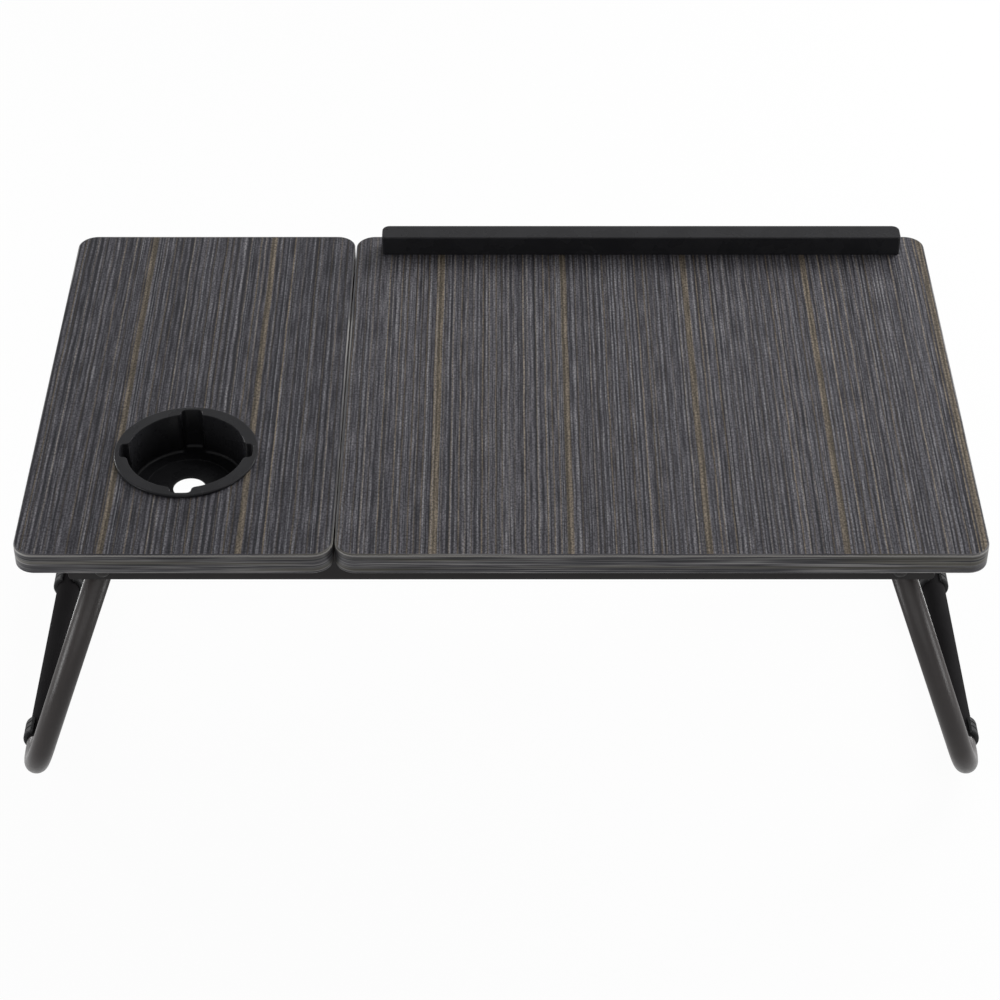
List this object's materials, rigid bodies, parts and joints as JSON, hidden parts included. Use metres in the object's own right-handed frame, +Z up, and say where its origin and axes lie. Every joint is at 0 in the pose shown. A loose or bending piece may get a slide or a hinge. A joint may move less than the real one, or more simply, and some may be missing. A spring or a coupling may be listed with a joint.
{
  "type": "laptop bed desk",
  "caption": "Low folding desk for use in bed: split laminate top with a cup holder and a book ledge, a tilting laptop panel, and bent-tube legs that fold flat under it.",
  "frame": {"origin": "on the floor, under the middle of the tabletop, with the legs open and the laptop panel down", "axes": "+X along the wide side, from the cup holder panel towards the laptop panel; +Y from the laptop panel's lifting edge towards its hinges and the book ledge; +Z up"},
  "size_m": [0.6592, 0.35, 0.2624],
  "materials": {
    "laminate": "charcoal wood-grain laminate on fibreboard, satin",
    "edge_band": "grey wood-grain edge band, satin",
    "black_plastic": "black moulded plastic, satin",
    "foot_rubber": "black rubber, matt",
    "frame_paint": "near-black powder coat, satin",
    "leg_paint": "brown-grey powder coat, satin",
    "zinc_plate": "zinc-plated steel"
  },
  "bodies": {
    "frame": {"side_panel_board": "laminate", "side_panel_edge_band": "edge_band", "side_panel_screw_1": "zinc_plate", "side_panel_screw_2": "zinc_plate", "side_panel_screw_3": "zinc_plate", "side_panel_screw_4": "zinc_plate", "cup_holder": "black_plastic", "front_rail": "frame_paint", "back_rail": "frame_paint", "left_cross_member": "frame_paint", "right_cross_member": "frame_paint", "cross_member_rivet_1": "zinc_plate", "cross_member_rivet_2": "zinc_plate", "cross_member_rivet_3": "zinc_plate", "cross_member_rivet_4": "zinc_plate", "left_rack": "black_plastic", "right_rack": "black_plastic", "left_hinge_rail_leaf": "zinc_plate", "right_hinge_rail_leaf": "zinc_plate", "left_hinge_pin": "zinc_plate", "right_hinge_pin": "zinc_plate", "hinge_rail_rivet_1": "zinc_plate", "hinge_rail_rivet_2": "zinc_plate", "hinge_rail_rivet_3": "zinc_plate", "hinge_rail_rivet_4": "zinc_plate", "front_left_leg_rivet": "frame_paint", "front_right_leg_rivet": "frame_paint", "back_left_leg_rivet": "frame_paint", "back_right_leg_rivet": "frame_paint", "front_left_leg_washer": "black_plastic", "front_right_leg_washer": "black_plastic", "back_left_leg_washer": "black_plastic", "back_right_leg_washer": "black_plastic"},
    "main_panel": {"main_panel_board": "laminate", "main_panel_edge_band": "edge_band", "book_ledge": "black_plastic", "ledge_screw_1": "zinc_plate", "ledge_screw_2": "zinc_plate", "ledge_screw_3": "zinc_plate", "left_hinge_panel_leaf": "zinc_plate", "right_hinge_panel_leaf": "zinc_plate", "hinge_panel_screw_1": "zinc_plate", "hinge_panel_screw_2": "zinc_plate", "hinge_panel_screw_3": "zinc_plate", "hinge_panel_screw_4": "zinc_plate", "left_bail_saddle": "zinc_plate", "right_bail_saddle": "zinc_plate", "saddle_screw_1": "zinc_plate", "saddle_screw_2": "zinc_plate", "saddle_screw_3": "zinc_plate", "saddle_screw_4": "zinc_plate"},
    "support_bail": {"support_bail": "zinc_plate"},
    "left_leg": {"left_leg_tube": "leg_paint", "front_left_foot_pad": "foot_rubber", "back_left_foot_pad": "foot_rubber"},
    "right_leg": {"right_leg_tube": "leg_paint", "front_right_foot_pad": "foot_rubber", "back_right_foot_pad": "foot_rubber"}
  },
  "joints": [
    {"name": "left_leg_fold", "type": "hinge", "parent": "frame", "child": "left_leg", "pos_m": [-0.2495, 0, 0.216], "axis": [0, -1, 0], "range_deg": [0, 108.9]},
    {"name": "right_leg_fold", "type": "hinge", "parent": "frame", "child": "right_leg", "pos_m": [0.2495, 0, 0.216], "axis": [0, 1, 0], "range_deg": [0, 108.9]},
    {"name": "panel_tilt", "type": "hinge", "parent": "frame", "child": "main_panel", "pos_m": [0.09875, 0.1555, 0.2302], "axis": [-1, 0, 0], "range_deg": [0, 35]},
    {"name": "bail_swing", "type": "hinge", "parent": "main_panel", "child": "support_bail", "pos_m": [0.09875, 0.0355, 0.2302], "axis": [-1, 0, 0], "range_deg": [-70, 0]}
  ],
  "couplings": [
    {"joint": "bail_swing", "follows": "panel_tilt", "ratio": -2}
  ]
}
